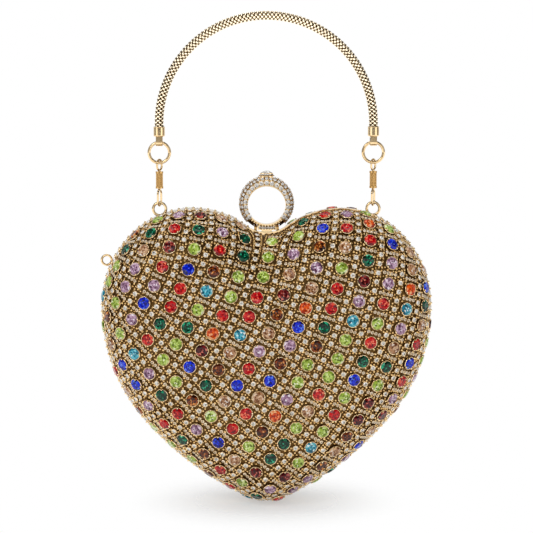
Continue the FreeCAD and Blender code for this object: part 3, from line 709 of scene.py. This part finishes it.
# two crossed waves, round the tube and along it, multiply to pillows between sunk diagonal lines
wave = math.pi * v / handle["step"]
weave = np.abs(np.sin(handle["around"] * u / 2.0 + wave) * np.sin(handle["around"] * u / 2.0 - wave))
thick = handle["radius"] + handle["bump"] * weave
bend = np.clip((v - tail) / handle["x"], 0.0, math.pi)
drop = np.maximum(tail - v, 0.0) + np.maximum(v - tail - math.pi * handle["x"], 0.0)
reach = handle["x"] + thick * np.cos(u)
braid = np.stack([-reach * np.cos(bend), case["handleY"] + thick * np.sin(u),
                  handle["archZ"] + reach * np.sin(bend) - drop], -1)
# the weave's height also drives the braid's painted shade and highlight
putPiece("braidedSleeve", (braid.reshape(-1, 3), gridQuads(rows, count)), "handle", braidGold,
         ("handle_sleeve",), tone=weave.ravel())

# finger ring: stones on its face, bevel and outer band and on the foot's front, with claws between them
# below the stones a row of beads edges the bore
ring = {
    "bandZ": 145.0857, "bandRadius": 12.6, "bevel": 1.5, "width": 6.4, "boreZ": 144.1857,
    "rings": ((0.85, -0.3), (0.98, 0.25), (0.55, 0.7), (0.0, 0.66)), "sides": 8, "up": 0.0,
    "spin": 6.3, "levels": (0.2, 0.4, 0.9, 0.6), "spread": 0.24,
    "claw": 0.4, "clawOut": 0.8, "clawUp": 0.25, "edgeUp": 0.1, "edgeGrow": 1.5,
    "footHalf": 3.3, "footRowZ": 133.5, "footStones": 6,
}


def ringSeats(sweep, count, radius, z, y, lean, skip=0.0):
    # seats at even turns over the ring, from its front face (lean 0) round to its outer band (lean 90)
    turn = np.radians(np.linspace(-sweep / 2.0, sweep / 2.0, count))
    turn = turn[np.abs(turn) >= math.radians(skip)]
    out = np.stack([np.sin(turn), np.zeros(len(turn)), np.cos(turn)], -1)
    a = math.radians(lean)
    up = out * math.sin(a) - np.array([0.0, math.cos(a), 0.0])
    at = np.array([0.0, y, z]) + out * radius
    along = np.stack([np.cos(turn), np.zeros(len(turn)), -np.sin(turn)], -1)
    return {"at": at, "up": up, "along": along, "across": np.cross(along, up)}


def footSeats(y):
    # a straight row, facing forwards
    x = np.linspace(-ring["footHalf"], ring["footHalf"], ring["footStones"])
    each = np.ones((len(x), 1))
    at = np.stack([x, np.full(len(x), y), np.full(len(x), ring["footRowZ"])], -1)
    return {"at": at, "up": each * [0.0, -1.0, 0.0], "along": each * [1.0, 0.0, 0.0],
            "across": each * [0.0, 0.0, -1.0]}


bandFront = case["handleY"] - ring["width"] / 2.0
halfBevel = ring["bevel"] / 2.0
onFace = {"sweep": 252.0, "count": 19, "radius": 10.25, "z": ring["bandZ"] - 0.35, "lean": 0.0}
onBevel = {"sweep": 256.0, "count": 27, "radius": ring["bandRadius"] - halfBevel, "z": ring["bandZ"],
           "lean": 45.0}
onBand = {"sweep": 262.0, "count": 25, "radius": ring["bandRadius"], "z": ring["bandZ"], "lean": 90.0,
          "skip": 16.0}
atBore = {"sweep": 360.0, "count": 46, "radius": 10.1, "z": ring["boreZ"], "lean": 0.0, "skip": 131.0}
ringRows = (  # seats, stone size and half step between stones
    (ringSeats(y=bandFront, **onFace), 1.12, 1.25),
    (ringSeats(y=bandFront + halfBevel, **onBevel), 0.85, 1.0),
    (ringSeats(y=case["handleY"] - 0.7, **onBand), 0.95, 1.15),
    (ringSeats(y=case["handleY"] + 1.5, **onBand), 0.95, 1.15),
    (footSeats(bandFront), 0.7, 0.65),
)
ringBead = bead(ring["claw"])
edge = moved(ringSeats(y=bandFront, **atBore), up=ring["edgeUp"])
beads = [repeat(ringBead, edge, 0.0, ring["edgeGrow"])]
ringStones, ringTones = [], []
for seats, size, halfStep in ringRows:
    stones, tones = stoneSet(ring, seats, size)
    ringStones.append(stones)
    ringTones.append(tones)
    for out in (ring["clawOut"], -ring["clawOut"]):
        beads.append(repeat(ringBead, moved(seats, out * size, halfStep, ring["clawUp"])))
putPiece("ringStones", joined(ringStones), "clasp", clearCrystal, ("ring_stones",),
         smooth=False, tone=np.concatenate(ringTones))

# oval stone in its cup, with grains round the cup's mouth; its rings are shares of the half sizes and height
oval = {
    "halfX": 3.3, "halfY": 2.2, "foot": 0.75, "top": 3.0,
    "cupX": 3.4, "cupY": 2.3, "mouth": 0.6, "grains": 18,
    "rings": ((0.96, 0.0), (1.0, 0.2), (0.8, 0.62), (0.45, 0.92), (0.0, 1.0)), "sides": 12,
    "levels": (0.3, 0.4, 0.6, 0.75, 0.6), "spread": 0.25,
}
bandTop = np.array([0.0, case["handleY"], ring["bandZ"] + ring["bandRadius"]])
ovalPoints, ovalFaces = cutStone(oval["rings"], oval["sides"])
ovalSize = np.array([oval["halfX"], oval["halfY"], oval["top"] - oval["foot"]])
ovalPoints = ovalPoints * ovalSize + bandTop + [0.0, 0.0, oval["foot"]]
putPiece("ovalStone", (ovalPoints, ovalFaces), "clasp", clearCrystal, ("centre_stone",),
         smooth=False, tone=facetPaintedReflections(oval, 1))
mouthTurn = np.arange(oval["grains"]) * fullTurn / oval["grains"]
mouth = np.stack([oval["cupX"] * np.cos(mouthTurn), oval["cupY"] * np.sin(mouthTurn),
                  np.full(len(mouthTurn), oval["mouth"])], -1)
axes = np.broadcast_to(np.eye(3)[:, None], (3, len(mouthTurn), 3))
beads.append(repeat(ringBead, {"at": mouth + bandTop, "across": axes[0], "along": axes[1], "up": axes[2]}))
putPiece("ringClaws", joined(beads), "clasp", turnedGold)
print("handle and ring")

# floor, light and camera
# to the lens the paper is clear in part at the heart's point and wholly at the fade's distance in mm
studio = {
    "floorZ": -232.6, "floorHalf": 4.0, "fade": 70.0, "clearAtPoint": 0.45, "roomLight": 0.5,
    "lampAimZ": -0.13, "aimZ": 114.4, "distance": 1.0, "lens": 140.0, "sensor": 36.0, "farthest": 20.0,
    "elevation": 6.0, "yaw": 2.0,
}
white = (1, 1, 1, 1)


def mirrorRay(tree):
    # 1 for rays by way of metal or glass, which see the backdrop as the lens does
    path = addNode(tree, "ShaderNodeLightPath").outputs
    either = addNode(tree, "ShaderNodeMath", links={0: path["Is Glossy Ray"], 1: path["Is Transmission Ray"]},
                     operation="MAXIMUM")
    return either.outputs["Value"]


def lensRay(tree):
    return addNode(tree, "ShaderNodeLightPath").outputs["Is Camera Ray"]


def mixed(tree, share, first, second):
    return addNode(tree, "ShaderNodeMixShader", links={0: share, 1: first.outputs[0], 2: second.outputs[0]})


world = bpy.data.worlds.new("studioWorld")
bpy.context.scene.world = world
world.use_nodes = True
tree = world.node_tree
tree.nodes.clear()
way = addNode(tree, "ShaderNodeTexCoord").outputs["Generated"]
wayParts = addNode(tree, "ShaderNodeSeparateXYZ", links={"Vector": way})
# white paper behind the object, a dim room on the lens's side
behind = addNode(tree, "ShaderNodeMapRange", {"From Min": -1.0, "From Max": 1.0},
                 {"Value": wayParts.outputs["Y"]})
roomTone = ramp(tree, behind.outputs["Result"], (
    (0.0, "#1C1A18"), (0.35, "#4E4A46"), (0.75, "#8E8A85"), (0.92, "#FFFFFF")))
lit = addNode(tree, "ShaderNodeBackground", {"Strength": studio["roomLight"]}, {"Color": roomTone})
mirrored = addNode(tree, "ShaderNodeBackground", {"Strength": 1.0}, {"Color": roomTone})
paper = addNode(tree, "ShaderNodeBackground", {"Color": white, "Strength": 1.0})
sky = mixed(tree, lensRay(tree), mixed(tree, mirrorRay(tree), lit, mirrored), paper)
addNode(tree, "ShaderNodeOutputWorld", links={"Surface": sky.outputs[0]})

# white sweep: near the heart's point the lit floor shows as a grey patch, partly its real contact shadow and
# partly painted shadow, since it greys there by distance alone; it fades into the white backdrop away from
# the point
paperSweepPaintedShadow, tree, shader = newMaterial("paperSweepPaintedShadow", {
    "Base Color": linear("#EDEDEC"), "Roughness": 0.9, "Emission Color": white})
floorZ = studio["floorZ"] * mm
place = addNode(tree, "ShaderNodeTexCoord").outputs["Object"]
away = addNode(tree, "ShaderNodeVectorMath", {1: (0.0, 0.0, floorZ)}, {0: place}, operation="DISTANCE")
# painted shadow mask: the nearer the point, the more of the lit grey floor shows, by distance alone; it also
# dims the floor in reflections near the point
paintedShadowClearness = addNode(tree, "ShaderNodeMapRange",
                    {"From Max": studio["fade"] * mm, "To Min": studio["clearAtPoint"]},
                    {"Value": away.outputs["Value"]}, interpolation_type="SMOOTHSTEP").outputs["Result"]
glow = addNode(tree, "ShaderNodeMath", links={0: mirrorRay(tree), 1: paintedShadowClearness}, operation="MULTIPLY")
tree.links.new(glow.outputs["Value"], shader.inputs["Emission Strength"])
fade = addNode(tree, "ShaderNodeMath", links={0: lensRay(tree), 1: paintedShadowClearness}, operation="MULTIPLY")
sweep = mixed(tree, fade.outputs["Value"], shader, addNode(tree, "ShaderNodeBsdfTransparent"))
tree.links.new(sweep.outputs[0], tree.nodes["Material Output"].inputs["Surface"])
floorMesh = bpy.data.meshes.new("studioFloor")
far = studio["floorHalf"]
corners = [(-far, -far, floorZ), (far, -far, floorZ), (far, far, floorZ), (-far, far, floorZ)]
floorMesh.from_pydata(corners, [], [(0, 1, 2, 3)])
floorMesh.materials.append(paperSweepPaintedShadow)
floor = bpy.data.objects.new("studioFloor", floorMesh)
bpy.context.scene.collection.objects.link(floor)


def aimed(thing, at, target):
    # turns a lamp or the camera to look from a point to a target
    way = np.array(target) - np.array(at)
    flat = math.hypot(way[0], way[1])
    thing.location = at
    thing.rotation_euler = (math.atan2(flat, -way[2]), 0.0, math.atan2(-way[0], way[1]))
    bpy.context.scene.collection.objects.link(thing)


lamps = (  # name, place in m, width, height, watts
    ("keySoftbox", (-0.7, -1.2, 0.8), 0.6, 0.6, 6.8),
    ("leftSoftbox", (-1.0, -0.75, 0.15), 0.8, 1.1, 3.4),
    ("rightSoftbox", (1.0, -0.75, 0.15), 0.8, 1.1, 4.0),
    ("topSoftbox", (0.0, 0.1, 1.3), 1.0, 0.8, 8.4),
    ("frontStrip", (0.2, -1.6, 0.6), 0.9, 0.25, 3.0),
)
for name, at, width, height, watts in lamps:
    lamp = bpy.data.lights.new(name, "AREA")
    lamp.shape = "RECTANGLE"
    lamp.size = width
    lamp.size_y = height
    lamp.energy = watts
    aimed(bpy.data.objects.new(name, lamp), at, (0.0, 0.0, studio["lampAimZ"]))
lens = bpy.data.cameras.new("camera")
lens.lens = studio["lens"]
lens.sensor_width = studio["sensor"]
lens.clip_end = studio["farthest"]
camera = bpy.data.objects.new("camera", lens)
target = np.array([0.0, 0.0, (studio["aimZ"] - case["gripZ"]) * mm])
elevation, yaw = math.radians(studio["elevation"]), math.radians(studio["yaw"])
outward = np.array([-math.sin(yaw) * math.cos(elevation), -math.cos(yaw) * math.cos(elevation),
                    math.sin(elevation)])
aimed(camera, tuple(target + outward * studio["distance"]), target)
bpy.context.scene.camera = camera
bpy.context.scene.view_settings.view_transform = "Standard"
print("studio ready")
